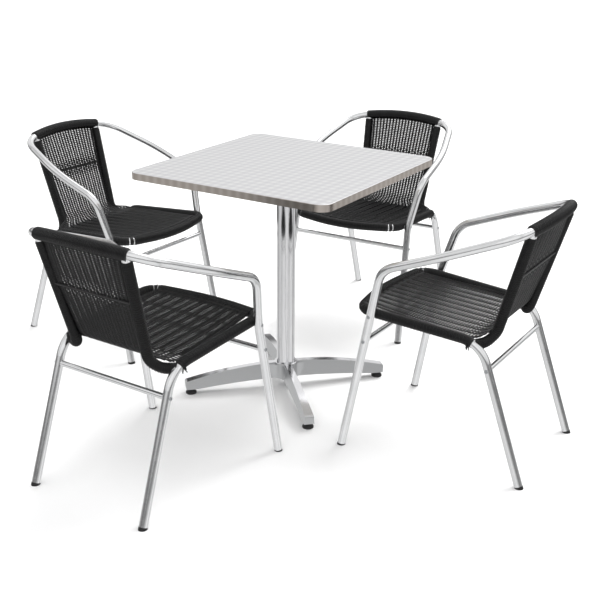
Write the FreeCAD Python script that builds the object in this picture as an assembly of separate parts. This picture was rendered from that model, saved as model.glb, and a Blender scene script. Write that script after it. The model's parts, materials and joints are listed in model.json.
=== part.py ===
import FreeCAD, Part
import math
import os

# Patio dining set: a square pedestal table and four tubular armchairs with woven seats and backs.
# Millimetres, +Z up, floor at Z = 0. The origin is on the floor under the middle of the whole set.

Vector = FreeCAD.Vector

# ---------------------------------------------------------------- layout
TABLE_CENTRE = Vector(88.0, -62.7, 0.0)     # puts the middle of the set's footprint on the origin
CHAIR_PLACES = (                            # x and y from the table centre, heading in degrees from +X
    (-27.0, -661.0, 88.0),
    (640.0, -19.0, 179.5),
    (-95.0, 788.0, 271.5),
    (-811.0, 106.0, -2.0),
)

# ---------------------------------------------------------------- table
TOP_SIDE = 700.0
TOP_CORNER_RADIUS = 38.0
TABLE_HEIGHT = 756.0
SHEET = 1.0                                 # thickness of the stainless skin
EDGE_DEPTH = 22.0
EDGE_BEND_RADIUS = 3.0
HEM_WIDTH = 10.0                            # skin folded in under the board
SPIDER_THICKNESS = 8.0
SPIDER_REACH = 230.0
SPIDER_ARM_WIDTH = 36.0
SPIDER_PLUG_DEPTH = 14.0
SPIDER_PLUG_FLOOR = 8.0
SPIDER_BOSS_RADIUS = 36.0
COLUMN_DIAMETER = 60.0
COLUMN_WALL = 1.5
TIE_ROD_DIAMETER = 8.0
NUT_ACROSS_FLATS = 13.0
NUT_HEIGHT = 6.5
WASHER_THICKNESS = 1.6
WASHER_DIAMETER = 24.0
WOOD_SCREW_DIAMETER = 5.0
WOOD_SCREW_GRIP = 13.0
WOOD_SCREW_HEAD_RADIUS = 5.0
WOOD_SCREW_HEAD_HEIGHT = 3.0
BOARD_GAP = 0.1

# base casting, measured outwards from the column axis
GLIDE_RADIUS = 320.0
LEG_END = 339.0
LEG_TIP_HEIGHT = 47.0
LEG_TIP_BOTTOM = 18.0
HUB_TOP = 88.0
HUB_RADIUS = 39.0
LEG_UNDERSIDE = 34.0
LEG_FOOT_WIDTH = 37.0                       # width at the floor side, before the draft
LEG_RIDGE_WIDTH = 20.0                      # width at the hub's height
CASTING_WALL = 4.0
SOCKET_FLOOR = 60.0
SOCKET_FLOOR_THICKNESS = 8.0
THROAT_RADIUS = 46.0                        # concave corner between two legs
LEG_SHOULDER = 7.0                          # rounding at the tip
LEG_CREST_DROP = 8.0                        # fall of the ridge by mid-leg
HUB_RIM_RADIUS = 2.5
GLIDE_BOSS_RADIUS = 13.0

# levelling glides
GLIDE_DIAMETER = 36.0
GLIDE_HEIGHT = 14.0
GLIDE_EDGE = 5.0                            # upright part of the pad's rim
GLIDE_SHOULDER = 7.0                        # how far the dome draws in
GLIDE_FLOOR_RADIUS = 1.5
STUD_DIAMETER = 8.0
STUD_TOP = 39.0
STUD_FLANGE_RADIUS = 7.0
STUD_FLANGE_HEIGHT = 3.0
STUD_SEAT = 3.5                             # pad thickness under the stud's flange
RUNNING_GAP = 0.08                          # radial, for parts that turn or slide

# ---------------------------------------------------------------- chair, x forward, y to the sitter's left
FRAME_DIAMETER = 25.0
FRAME_WALL = 1.3
STRETCHER_DIAMETER = 16.0
STRETCHER_WALL = 1.2
STRETCHER_PLUG = 18.0
FRONT_FOOT = Vector(272.0, 246.0, 0.0)
FRONT_KNEE = Vector(196.0, 231.5, 420.0)    # the front leg leans back above the seat
ARM_CORNER = Vector(153.0, 257.0, 578.0)
ARM_BOW = Vector(-20.0, 260.0, 645.0)
BACK_CORNER = Vector(-217.0, 208.0, 720.0)
TOP_RAIL_BOW = Vector(-264.0, 0.0, 745.0)
KNEE_RADIUS = 250.0
ARM_CORNER_RADIUS = 75.0
ARM_BOW_RADIUS = 600.0
BACK_CORNER_RADIUS = 100.0
TOP_RAIL_RADIUS = 560.0

REAR_FOOT = Vector(-272.0, 198.0, 0.0)
SEAT_REAR = Vector(-127.0, 193.0, 401.0)
SEAT_FRONT = Vector(243.0, 204.5, 428.0)
SEAT_BOW = Vector(285.0, 0.0, 420.0)
SEAT_REAR_RADIUS = 90.0
SEAT_FRONT_RADIUS = 52.0
SEAT_BOW_RADIUS = 550.0

POST_TOP = Vector(-232.0, 149.0, 727.0)
POST_BEND = Vector(-138.0, 126.0, 388.0)
POST_END = Vector(-106.0, 193.5, 393.0)     # on the axis of the seat frame's rear bend
POST_BEND_RADIUS = 45.0

FRONT_STRETCHER_HEIGHT = 346.0
REAR_STRETCHER_HEIGHT = 328.0
SEAT_ROD_DIAMETER = 8.0
SEAT_ROD_X = 165.0
BACK_ROD_DIAMETER = 6.0
BACK_ROD_HEIGHT = 588.0
BACK_ROD_GAP = 2.2                          # behind the back weave

TOP_WRAP_RADIUS = 17.5                      # outside of the strand wound on each tube
POST_WRAP_RADIUS = 15.5
SEAT_WRAP_RADIUS = 15.5
WRAP_GAP = 0.1
TOP_WRAP_HALF_LENGTH = 158.0                # along the rail
SEAT_WRAP_START = 10.0                      # along the tube, past the rear bend's vertex
WEAVE_THICKNESS = 8.0
WEAVE_GAP = 0.5
WEAVE_LIFT = 6.0                            # middle of the seat weave above the rail's axis
WEAVE_JOINT_X = -75.0                       # where the back weave hands over to the seat weave
WEAVE_BEND_RADIUS = 60.0
BACK_WEAVE_TOP = 704.0

CAP_HEIGHT = 6.0
CAP_PLUG = 15.0
BOLT_DIAMETER = 6.0
BOLT_HEAD_DIAMETER = 11.0
BOLT_HEAD_HEIGHT = 3.0
BOLT_CROWN_RADIUS = 1.2                     # rounded edge of the head
SOCKET_RADIUS = 1.8
SOCKET_DEPTH = 1.6
DRILL_RUN_OUT = 3.0                         # how far drills start outside the heads
SEAT_BOLT_GRIP = 51.0                       # through the leg, into the seat rail
STRETCHER_BOLT_GRIP = 40.0                  # through the leg, into the stretcher's plug
BOLT_GAP = 0.1
TILT_CLEARANCE = 1.2                        # round heads sit this far into a round tube's flank


# ---------------------------------------------------------------- general shapes
def mirrored(point):
    """The same point on the sitter's right."""
    return Vector(point.x, -point.y, point.z)


def bent_path(points, radii):
    """Edges of straight runs joined by tangent arcs, one radius for each inner point."""
    edges = []
    start = points[0]
    for before, corner, after, radius in zip(points, points[1:], points[2:], radii):
        into = (corner - before).normalize()
        out_of = (after - corner).normalize()
        turn = into.getAngle(out_of)
        reach = radius * math.tan(turn / 2)
        arc_start = corner - into * reach
        arc_end = corner + out_of * reach
        inward = (out_of - into).normalize()
        arc_middle = corner + inward * radius * (1 / math.cos(turn / 2) - 1)
        edges.append(Part.LineSegment(start, arc_start).toShape())
        edges.append(Part.Arc(arc_start, arc_middle, arc_end).toShape())
        start = arc_end
    edges.append(Part.LineSegment(start, points[-1]).toShape())
    return edges


def part_of_path(edges, first, last):
    """The stretch of a path between two distances along it."""
    kept = []
    done = 0.0
    for edge in edges:
        low = max(first - done, 0.0)
        high = min(last - done, edge.Length)
        if high - low > 1e-6:
            start = edge.getParameterByLength(low)
            end = edge.getParameterByLength(high)
            kept.append(edge.Curve.toShape(start, end))
        done += edge.Length
    return kept


def path_length(edges):
    return sum(edge.Length for edge in edges)


def tube(edges, outer_radius, bore_radius=0.0):
    """A round tube, or a round bar when the bore is zero, swept along the edges."""
    first = edges[0]
    start = first.valueAt(first.FirstParameter)
    along = first.tangentAt(first.FirstParameter)
    spine = Part.Wire(edges)
    section = Part.Face(Part.Wire(Part.makeCircle(outer_radius, start, along)))
    solid = one_solid(spine.makePipe(section))
    if bore_radius:
        solid = one_solid(solid.cut(tube(edges, bore_radius)))
    return solid


def one_solid(shape):
    """The largest solid of a shape, turned right side out."""
    solid = max(shape.Solids, key=lambda item: abs(item.Volume))
    if solid.Volume < 0:
        solid.reverse()
    return solid


def bar(start, end, radius):
    return Part.makeCylinder(radius, start.distanceToPoint(end), start, end - start)


def at_height(low, high, height):
    """Point of a straight run at a height."""
    return low + (high - low) * ((height - low.z) / (high.z - low.z))


def at_forward(rear, front, x):
    """Point of a straight run at a forward position."""
    return rear + (front - rear) * ((x - rear.x) / (front.x - rear.x))


def group(solids):
    return Part.makeCompound([one_solid(solid) for solid in solids])


def both_sides(make):
    """One shape for each side of the chair, from a function of the side's sign."""
    return [make(side) for side in (1, -1)]


def to_side(point, side):
    return point if side > 0 else mirrored(point)


# ---------------------------------------------------------------- chair
def arm_frame_path():
    """Front leg, arm, top rail, arm and front leg in one bent tube."""
    left = [at_height(FRONT_FOOT, FRONT_KNEE, CAP_HEIGHT), FRONT_KNEE, ARM_CORNER, ARM_BOW, BACK_CORNER]
    right = [mirrored(point) for point in reversed(left)]
    radii = [KNEE_RADIUS, ARM_CORNER_RADIUS, ARM_BOW_RADIUS, BACK_CORNER_RADIUS]
    return bent_path(left + [TOP_RAIL_BOW] + right, radii + [TOP_RAIL_RADIUS] + radii[::-1])


def seat_frame_path():
    """Rear leg, seat rail, bowed front rail, seat rail and rear leg in one bent tube."""
    left = [at_height(REAR_FOOT, SEAT_REAR, CAP_HEIGHT), SEAT_REAR, SEAT_FRONT]
    right = [mirrored(point) for point in reversed(left)]
    radii = [SEAT_REAR_RADIUS, SEAT_FRONT_RADIUS]
    return bent_path(left + [SEAT_BOW] + right, radii + [SEAT_BOW_RADIUS] + radii[::-1])


def post_path(side):
    points = [to_side(point, side) for point in (POST_TOP, POST_BEND, POST_END)]
    return bent_path(points, [POST_BEND_RADIUS])


def seat_wrap_path():
    """The stretch of the seat frame that is wound with strand."""
    edges = seat_frame_path()
    to_vertex = at_height(REAR_FOOT, SEAT_REAR, CAP_HEIGHT).distanceToPoint(SEAT_REAR)
    start = to_vertex + SEAT_WRAP_START
    return part_of_path(edges, start, path_length(edges) - start)


def top_wrap_path():
    edges = arm_frame_path()
    middle = path_length(edges) / 2
    return part_of_path(edges, middle - TOP_WRAP_HALF_LENGTH, middle + TOP_WRAP_HALF_LENGTH)


def bolt_lines():
    """Outer surface point and inner end of every bolt, all running across the chair."""
    half_tube = FRAME_DIAMETER / 2
    seat_bolt = at_height(FRONT_FOOT, FRONT_KNEE, at_forward(SEAT_REAR, SEAT_FRONT, FRONT_KNEE.x).z)
    front_low = at_height(FRONT_FOOT, FRONT_KNEE, FRONT_STRETCHER_HEIGHT)
    rear_low = at_height(REAR_FOOT, SEAT_REAR, REAR_STRETCHER_HEIGHT)
    lines = []
    for side in (1, -1):
        for axis_point, grip in ((seat_bolt, SEAT_BOLT_GRIP), (front_low, STRETCHER_BOLT_GRIP),
                                 (rear_low, STRETCHER_BOLT_GRIP)):
            outside = Vector(axis_point.x, axis_point.y + half_tube, axis_point.z)
            inside = Vector(outside.x, outside.y - grip, outside.z)
            lines.append((to_side(outside, side), to_side(inside, side)))
    return lines


def bolt_holes():
    """One drill for each bolt, a little longer than the bolt at both ends."""
    drills = []
    for outside, inside in bolt_lines():
        along = (inside - outside).normalize()
        drill_start = outside - along * (BOLT_HEAD_HEIGHT + DRILL_RUN_OUT)
        drills.append(bar(drill_start, inside + along * 0.5, BOLT_DIAMETER / 2 + BOLT_GAP))
    return drills


def bolt_head_pockets():
    """Spot faces in which the round heads sit on the tubes."""
    pockets = []
    for outside, inside in bolt_lines():
        along = (inside - outside).normalize()
        bottom = outside + along * TILT_CLEARANCE
        top = outside - along * (BOLT_HEAD_HEIGHT + DRILL_RUN_OUT)
        pockets.append(bar(bottom, top, BOLT_HEAD_DIAMETER / 2 + BOLT_GAP))
    return pockets


def bolts():
    solids = []
    for outside, inside in bolt_lines():
        along = (inside - outside).normalize()
        seat = outside + along * TILT_CLEARANCE
        crown = seat - along * BOLT_HEAD_HEIGHT
        head = bar(seat, crown, BOLT_HEAD_DIAMETER / 2)
        crown_edge = [edge for edge in head.Edges if edge.distToShape(Part.Vertex(crown))[0] > 1.0
                      and edge.CenterOfMass.distanceToPoint(crown) < 0.5]
        head = head.makeFillet(BOLT_CROWN_RADIUS, crown_edge)
        socket = Part.makeCylinder(SOCKET_RADIUS, SOCKET_DEPTH, crown, along)
        shank = bar(seat, inside, BOLT_DIAMETER / 2)
        solids.append(head.fuse(shank).removeSplitter().cut(socket))
    return group(solids)


def foot_caps():
    """A plug with a round tread, cut off level with the floor, in each tube end."""
    bore = FRAME_DIAMETER / 2 - FRAME_WALL
    below_floor = Part.makeBox(1000, 1000, 100, Vector(-500, -500, -100))
    solids = []
    for foot, knee in ((FRONT_FOOT, FRONT_KNEE), (REAR_FOOT, SEAT_REAR)):
        for side in (1, -1):
            ground = to_side(foot, side)
            upward = (to_side(knee, side) - ground).normalize()
            rim = to_side(at_height(foot, knee, CAP_HEIGHT), side)
            tread = bar(rim - upward * 3 * CAP_HEIGHT, rim, FRAME_DIAMETER / 2)
            plug = bar(rim, rim + upward * CAP_PLUG, bore - WRAP_GAP)
            solids.append(tread.fuse(plug).removeSplitter().cut(below_floor))
    return group(solids)


def stretcher(low_point, keep_out):
    """A tube between two legs with drilled end plugs, its ends shaped to the legs."""
    left = low_point
    right = mirrored(low_point)
    along = (right - left).normalize()
    body = bar(left, right, STRETCHER_DIAMETER / 2).cut(keep_out)
    face = body.BoundBox.YMax
    bore_start = Vector(left.x, face, left.z) + along * STRETCHER_PLUG
    bore_end = mirrored(bore_start)
    return body.cut(bar(bore_start, bore_end, STRETCHER_DIAMETER / 2 - STRETCHER_WALL))


def back_plane_x(height):
    return at_height(POST_BEND, POST_TOP, height).x


def back_weave(clearance):
    """A thin woven panel between the posts that curves forward at its foot."""
    foot = Vector(POST_BEND.x, 0, at_forward(SEAT_REAR, SEAT_FRONT, POST_BEND.x).z + WEAVE_LIFT)
    top = Vector(back_plane_x(BACK_WEAVE_TOP), 0, BACK_WEAVE_TOP)
    front = Vector(WEAVE_JOINT_X, 0, at_forward(SEAT_REAR, SEAT_FRONT, WEAVE_JOINT_X).z + WEAVE_LIFT)
    spine = bent_path([top, foot, front], [WEAVE_BEND_RADIUS])
    half_width = POST_TOP.y
    first = spine[0]
    along = first.tangentAt(first.FirstParameter)
    across = along.cross(Vector(0, 1, 0)).normalize() * (WEAVE_THICKNESS / 2)
    corners = [top + Vector(0, half_width, 0) + across, top + Vector(0, -half_width, 0) + across,
               top + Vector(0, -half_width, 0) - across, top + Vector(0, half_width, 0) - across]
    section = Part.Face(Part.makePolygon(corners + corners[:1]))
    panel = one_solid(Part.Wire(spine).makePipe(section))
    low_y = POST_BEND.y - POST_WRAP_RADIUS - WEAVE_GAP
    high_y = POST_TOP.y - POST_WRAP_RADIUS - WEAVE_GAP
    outline = [Vector(-400, low_y, 300), Vector(-400, low_y, POST_BEND.z), Vector(-400, high_y, POST_TOP.z),
               Vector(-400, -high_y, POST_TOP.z), Vector(-400, -low_y, POST_BEND.z), Vector(-400, -low_y, 300)]
    between_posts = Part.Face(Part.makePolygon(outline + outline[:1])).extrude(Vector(500, 0, 0))
    return one_solid(panel.common(between_posts).cut(clearance))


def seat_weave(clearance):
    """A thin woven panel inside the seat frame, level with the top of the rails."""
    rear_z = at_forward(SEAT_REAR, SEAT_FRONT, WEAVE_JOINT_X).z + WEAVE_LIFT - WEAVE_THICKNESS / 2
    rear_x = WEAVE_JOINT_X + WEAVE_GAP
    front_z = SEAT_FRONT.z + WEAVE_LIFT - WEAVE_THICKNESS / 2
    half_width = SEAT_FRONT.y - SEAT_FRONT_RADIUS / 4
    half_rear = SEAT_REAR.y - SEAT_FRONT_RADIUS / 4
    outline = [Vector(rear_x, half_rear, rear_z), Vector(rear_x, -half_rear, rear_z),
               Vector(SEAT_FRONT.x, -half_width, front_z), Vector(SEAT_FRONT.x, half_width, front_z)]
    slab = Part.Face(Part.makePolygon(outline + outline[:1])).extrude(Vector(0, 0, WEAVE_THICKNESS))
    return one_solid(slab.cut(clearance))


def chair_parts():
    """Every piece of one chair, in the chair's own frame."""
    half_tube = FRAME_DIAMETER / 2
    bore = half_tube - FRAME_WALL
    arm_path = arm_frame_path()
    seat_path = seat_frame_path()
    arm_bar = tube(arm_path, half_tube)
    seat_bar = tube(seat_path, half_tube)
    post_bars = both_sides(lambda side: tube(post_path(side), half_tube))
    holes = bolt_holes()
    pockets = bolt_head_pockets()
    drills = holes + pockets

    front_low = at_height(FRONT_FOOT, FRONT_KNEE, FRONT_STRETCHER_HEIGHT)
    rear_low = at_height(REAR_FOOT, SEAT_REAR, REAR_STRETCHER_HEIGHT)

    rail = at_forward(SEAT_REAR, SEAT_FRONT, SEAT_ROD_X)
    rod_left = Vector(rail.x, rail.y, rail.z - WEAVE_LIFT)
    seat_rod = bar(rod_left, mirrored(rod_left), SEAT_ROD_DIAMETER / 2)
    behind = (WEAVE_THICKNESS + BACK_ROD_DIAMETER) / 2 + BACK_ROD_GAP
    post_point = at_height(POST_BEND, POST_TOP, BACK_ROD_HEIGHT)
    back_left = Vector(post_point.x - behind, post_point.y, post_point.z)
    back_rod = bar(back_left, mirrored(back_left), BACK_ROD_DIAMETER / 2)

    top_wrap_bar = tube(top_wrap_path(), TOP_WRAP_RADIUS)
    seat_wrap_bar = tube(seat_wrap_path(), SEAT_WRAP_RADIUS)
    wrap_bore = half_tube + WRAP_GAP
    top_wrap = tube(top_wrap_path(), TOP_WRAP_RADIUS, wrap_bore).cut(post_bars)
    seat_wrap = tube(seat_wrap_path(), SEAT_WRAP_RADIUS, wrap_bore).cut([seat_rod] + drills + post_bars)
    post_wraps = []
    for side in (1, -1):
        whole = tube(post_path(side), POST_WRAP_RADIUS, wrap_bore)
        post_wraps.append(whole.cut([arm_bar, seat_wrap_bar, seat_bar, top_wrap_bar, back_rod]))

    weave_clearance = [
        tube(seat_wrap_path(), SEAT_WRAP_RADIUS + WEAVE_GAP),
        tube(post_path(1), POST_WRAP_RADIUS + WEAVE_GAP),
        tube(post_path(-1), POST_WRAP_RADIUS + WEAVE_GAP),
    ] + pockets

    posts = []
    for side in (1, -1):
        hollow = tube(post_path(side), half_tube, bore)
        posts.append(hollow.cut([arm_bar, seat_bar]))

    return {
        "arm_frame": one_solid(tube(arm_path, half_tube, bore).cut(drills)),
        "seat_frame": one_solid(tube(seat_path, half_tube, bore).cut(drills)),
        "back_posts": group(posts),
        "front_stretcher": one_solid(stretcher(front_low, arm_bar).cut(drills)),
        "rear_stretcher": one_solid(stretcher(rear_low, seat_bar).cut(drills)),
        "support_rods": group([seat_rod.cut(seat_bar), back_rod.cut(post_bars)]),
        "screws": bolts(),
        "foot_caps": foot_caps(),
        "frame_wraps": group([top_wrap, seat_wrap] + post_wraps),
        "seat_weave": seat_weave(weave_clearance),
        "back_weave": back_weave(weave_clearance + [top_wrap_bar]),
    }


# ---------------------------------------------------------------- table
def rounded_square(side, corner_radius, bottom, height):
    half = side / 2
    box = Part.makeBox(side, side, height, Vector(-half, -half, bottom))
    upright = [edge for edge in box.Edges if abs(edge.tangentAt(edge.FirstParameter).z) > 0.9]
    return box.makeFillet(corner_radius, upright)


def top_skin():
    bottom = TABLE_HEIGHT - EDGE_DEPTH
    outer = rounded_square(TOP_SIDE, TOP_CORNER_RADIUS, bottom, EDGE_DEPTH)
    rim = [edge for edge in outer.Edges if edge.BoundBox.ZMin > TABLE_HEIGHT - 0.01]
    outer = outer.makeFillet(EDGE_BEND_RADIUS, rim)
    inner = rounded_square(TOP_SIDE - 2 * SHEET, TOP_CORNER_RADIUS - SHEET, bottom + SHEET,
                           EDGE_DEPTH - 2 * SHEET)
    rim = [edge for edge in inner.Edges if edge.BoundBox.ZMin > TABLE_HEIGHT - SHEET - 0.01]
    inner = inner.makeFillet(EDGE_BEND_RADIUS - SHEET, rim)
    mouth = rounded_square(TOP_SIDE - 2 * HEM_WIDTH, TOP_CORNER_RADIUS - HEM_WIDTH, bottom, SHEET)
    return one_solid(outer.cut([inner, mouth]))


def spider_screw_places():
    """Two screws on each arm of the spider."""
    places = []
    for quarter in range(4):
        angle = math.radians(45 + 90 * quarter)
        for reach in (SPIDER_REACH - 20.0, SPIDER_REACH / 2):
            places.append(Vector(reach * math.cos(angle), reach * math.sin(angle), 0))
    return places


def top_core():
    """The board inside the skin, with pilot holes from below."""
    bottom = TABLE_HEIGHT - EDGE_DEPTH + SHEET
    top = TABLE_HEIGHT - SHEET - BOARD_GAP
    board = rounded_square(TOP_SIDE - 2 * SHEET - 2 * BOARD_GAP, TOP_CORNER_RADIUS - SHEET - BOARD_GAP,
                           bottom, top - bottom)
    rim = [edge for edge in board.Edges if edge.BoundBox.ZMin > top - 0.01]
    board = board.makeFillet(EDGE_BEND_RADIUS - SHEET, rim)
    holes = []
    for place in spider_screw_places():
        start = Vector(place.x, place.y, bottom - 1)
        holes.append(Part.makeCylinder(WOOD_SCREW_DIAMETER / 2 + 0.05, WOOD_SCREW_GRIP + 2, start))
    nut_room = Part.makeCylinder(WASHER_DIAMETER / 2 + 2, 8.0, Vector(0, 0, bottom - 1))
    return one_solid(board.cut(holes + [nut_room]))


def spider_levels():
    """Underside and upper face of the spider's arms."""
    upper = TABLE_HEIGHT - EDGE_DEPTH + SHEET
    return upper - SPIDER_THICKNESS, upper


def top_spider():
    """A cross of four arms with a plug that fits the column."""
    under, upper = spider_levels()
    solid = Part.makeCylinder(SPIDER_BOSS_RADIUS, SPIDER_THICKNESS, Vector(0, 0, under))
    for quarter in range(2):
        arm = Part.makeBox(2 * SPIDER_REACH, SPIDER_ARM_WIDTH, SPIDER_THICKNESS,
                           Vector(-SPIDER_REACH, -SPIDER_ARM_WIDTH / 2, under))
        ends = [edge for edge in arm.Edges if abs(edge.tangentAt(edge.FirstParameter).z) > 0.9]
        arm = arm.makeFillet(SPIDER_ARM_WIDTH / 2 - 1, ends)
        arm.rotate(Vector(0, 0, 0), Vector(0, 0, 1), 45 + 90 * quarter)
        solid = solid.fuse(arm)
    plug_radius = COLUMN_DIAMETER / 2 - COLUMN_WALL - 0.05
    plug = Part.makeCylinder(plug_radius, SPIDER_PLUG_DEPTH, Vector(0, 0, under - SPIDER_PLUG_DEPTH))
    well_depth = SPIDER_THICKNESS + SPIDER_PLUG_DEPTH - SPIDER_PLUG_FLOOR
    well = Part.makeCylinder(WASHER_DIAMETER / 2 + 3, well_depth, Vector(0, 0, upper - well_depth))
    rod_hole = Part.makeCylinder(TIE_ROD_DIAMETER / 2 + 0.5, 60, Vector(0, 0, under - 40))
    cuts = [well, rod_hole]
    for place in spider_screw_places():
        cuts.append(Part.makeCylinder(WOOD_SCREW_DIAMETER / 2 + 0.1, 20, Vector(place.x, place.y, under - 5)))
    return one_solid(solid.fuse(plug).removeSplitter().cut(cuts))


def spider_screws():
    under = spider_levels()[0]
    solids = []
    for place in spider_screw_places():
        head_low = Vector(place.x, place.y, under - WOOD_SCREW_HEAD_HEIGHT)
        head = Part.makeCylinder(WOOD_SCREW_HEAD_RADIUS, WOOD_SCREW_HEAD_HEIGHT, head_low)
        shank = Part.makeCylinder(WOOD_SCREW_DIAMETER / 2, SPIDER_THICKNESS + WOOD_SCREW_GRIP,
                                  Vector(place.x, place.y, under))
        solids.append(head.fuse(shank).removeSplitter())
    return group(solids)


def column():
    height = spider_levels()[0] - SOCKET_FLOOR
    start = Vector(0, 0, SOCKET_FLOOR)
    outside = Part.makeCylinder(COLUMN_DIAMETER / 2, height, start)
    return outside.cut(Part.makeCylinder(COLUMN_DIAMETER / 2 - COLUMN_WALL, height, start))


def rod_seats():
    """Heights of the clamped faces under the lower nut's washer and over the upper one's."""
    under = spider_levels()[0]
    return SOCKET_FLOOR - SOCKET_FLOOR_THICKNESS, under - SPIDER_PLUG_DEPTH + SPIDER_PLUG_FLOOR


def tie_rod():
    low, high = rod_seats()
    spare = WASHER_THICKNESS + NUT_HEIGHT + 2.0
    return Part.makeCylinder(TIE_ROD_DIAMETER / 2, high - low + 2 * spare, Vector(0, 0, low - spare))


def rod_nuts():
    """A washer and a hexagon nut at each end of the tie rod."""
    low, high = rod_seats()
    corner_radius = NUT_ACROSS_FLATS / math.sqrt(3)
    hexagon = [Vector(corner_radius * math.cos(math.radians(60 * k)),
                      corner_radius * math.sin(math.radians(60 * k)), 0) for k in range(7)]
    hole = Part.makeCylinder(TIE_ROD_DIAMETER / 2 + 0.05, TABLE_HEIGHT)
    solids = []
    for washer_low, nut_low in ((low - WASHER_THICKNESS, low - WASHER_THICKNESS - NUT_HEIGHT),
                                (high, high + WASHER_THICKNESS)):
        washer = Part.makeCylinder(WASHER_DIAMETER / 2, WASHER_THICKNESS, Vector(0, 0, washer_low))
        nut = Part.Face(Part.makePolygon(hexagon)).extrude(Vector(0, 0, NUT_HEIGHT))
        nut.translate(Vector(0, 0, nut_low))
        solids += [washer.cut(hole), nut.cut(hole)]
    return group(solids)


def leg_profile(inset):
    """Side view of a casting leg, from the axis outwards, drawn in by the inset."""
    top = HUB_TOP - inset
    tip_top = LEG_TIP_HEIGHT - inset
    if inset:
        end = GLIDE_RADIUS - GLIDE_BOSS_RADIUS - inset
        bottom = 0.0
        crest = Vector(end * 0.45, 0, top - LEG_CREST_DROP)
        tip = Vector(end, 0, tip_top + (LEG_END - end) * 0.12)
        edges = [Part.LineSegment(Vector(0, 0, bottom), Vector(0, 0, top - 2)).toShape(),
                 Part.Arc(Vector(0, 0, top - 2), crest, tip).toShape(),
                 Part.LineSegment(tip, Vector(end, 0, bottom)).toShape(),
                 Part.LineSegment(Vector(end, 0, bottom), Vector(0, 0, bottom)).toShape()]
        return Part.Face(Part.Wire(edges))
    tip = Vector(LEG_END - LEG_SHOULDER, 0, tip_top)
    nose = Vector(LEG_END, 0, tip_top - LEG_SHOULDER)
    nose_middle = Vector(LEG_END - LEG_SHOULDER * 0.3, 0, tip_top - LEG_SHOULDER * 0.3)
    toe = Vector(LEG_END - 2.0, 0, LEG_TIP_BOTTOM)
    heel = Vector(GLIDE_RADIUS - GLIDE_BOSS_RADIUS - 8.0, 0, LEG_TIP_BOTTOM)
    arch = Vector(LEG_END * 0.45, 0, LEG_UNDERSIDE - 4.0)
    inner = Vector(0, 0, LEG_UNDERSIDE)
    crest = Vector(LEG_END * 0.45, 0, HUB_TOP - LEG_CREST_DROP)
    edges = [Part.LineSegment(inner, Vector(0, 0, top)).toShape(),
             Part.Arc(Vector(0, 0, top), crest, tip).toShape(),
             Part.Arc(tip, nose_middle, nose).toShape(),
             Part.LineSegment(nose, toe).toShape(),
             Part.LineSegment(toe, heel).toShape(),
             Part.Arc(heel, arch, inner).toShape()]
    return Part.Face(Part.Wire(edges))


def drafted_beam(inset, length):
    """A bar whose sides lean in towards the top, as a casting leaves its mould."""
    foot = LEG_FOOT_WIDTH / 2 - inset
    ridge = LEG_RIDGE_WIDTH / 2 - inset
    corners = [Vector(0, foot, 0), Vector(0, ridge, HUB_TOP), Vector(0, -ridge, HUB_TOP), Vector(0, -foot, 0)]
    return Part.Face(Part.makePolygon(corners + corners[:1])).extrude(Vector(length, 0, 0))


def casting_leg(inset):
    wide = leg_profile(inset)
    slab = wide.extrude(Vector(0, LEG_FOOT_WIDTH * 2, 0))
    slab.translate(Vector(0, -LEG_FOOT_WIDTH, 0))
    return one_solid(slab.common(drafted_beam(inset, LEG_END)))


def hub_web():
    """The middle of the casting, with a round throat between each pair of legs."""
    half_width = (LEG_FOOT_WIDTH + LEG_RIDGE_WIDTH) / 4 - 1.0
    reach = half_width + THROAT_RADIUS
    height = HUB_TOP - LEG_UNDERSIDE - 6.0
    start = Vector(-reach, -reach, LEG_UNDERSIDE)
    block = Part.makeBox(2 * reach, 2 * reach, height, start)
    throats = []
    for x in (-reach, reach):
        for y in (-reach, reach):
            corner = Vector(x, y, LEG_UNDERSIDE)
            throats.append(Part.makeCylinder(THROAT_RADIUS, height, corner))
    return one_solid(block.cut(throats))


def base_casting():
    solid = Part.makeCylinder(HUB_RADIUS, HUB_TOP - LEG_UNDERSIDE, Vector(0, 0, LEG_UNDERSIDE))
    rim = [edge for edge in solid.Edges if edge.BoundBox.ZMin > HUB_TOP - 0.01]
    solid = solid.makeFillet(HUB_RIM_RADIUS, rim).fuse(hub_web())
    pockets = []
    for quarter in range(4):
        leg = casting_leg(0.0)
        pocket = casting_leg(CASTING_WALL)
        for piece in (leg, pocket):
            piece.rotate(Vector(0, 0, 0), Vector(0, 0, 1), 90 * quarter)
        solid = solid.fuse(leg)
        pockets.append(pocket)
    middle = Part.makeCylinder(HUB_RADIUS + 20, HUB_TOP)
    well_floor = SOCKET_FLOOR - SOCKET_FLOOR_THICKNESS
    pockets = [pocket.cut(middle) for pocket in pockets]
    socket = Part.makeCylinder(COLUMN_DIAMETER / 2 + 0.1, HUB_TOP, Vector(0, 0, SOCKET_FLOOR))
    rod_hole = Part.makeCylinder(TIE_ROD_DIAMETER / 2 + 0.5, HUB_TOP)
    well = Part.makeCylinder(HUB_RADIUS - 12, well_floor)
    cuts = pockets + [socket, rod_hole, well]
    for quarter in range(4):
        angle = math.radians(90 * quarter)
        place = Vector(GLIDE_RADIUS * math.cos(angle), GLIDE_RADIUS * math.sin(angle), 0)
        cuts.append(Part.makeCylinder(STUD_DIAMETER / 2 + RUNNING_GAP, STUD_TOP + 1.0, place))
    solid = one_solid(solid.removeSplitter().cut(cuts))
    solid.rotate(Vector(0, 0, 0), Vector(0, 0, 1), 45)
    return solid


def glide_place(number):
    angle = math.radians(45 + 90 * number)
    return Vector(GLIDE_RADIUS * math.cos(angle), GLIDE_RADIUS * math.sin(angle), 0)


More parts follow.
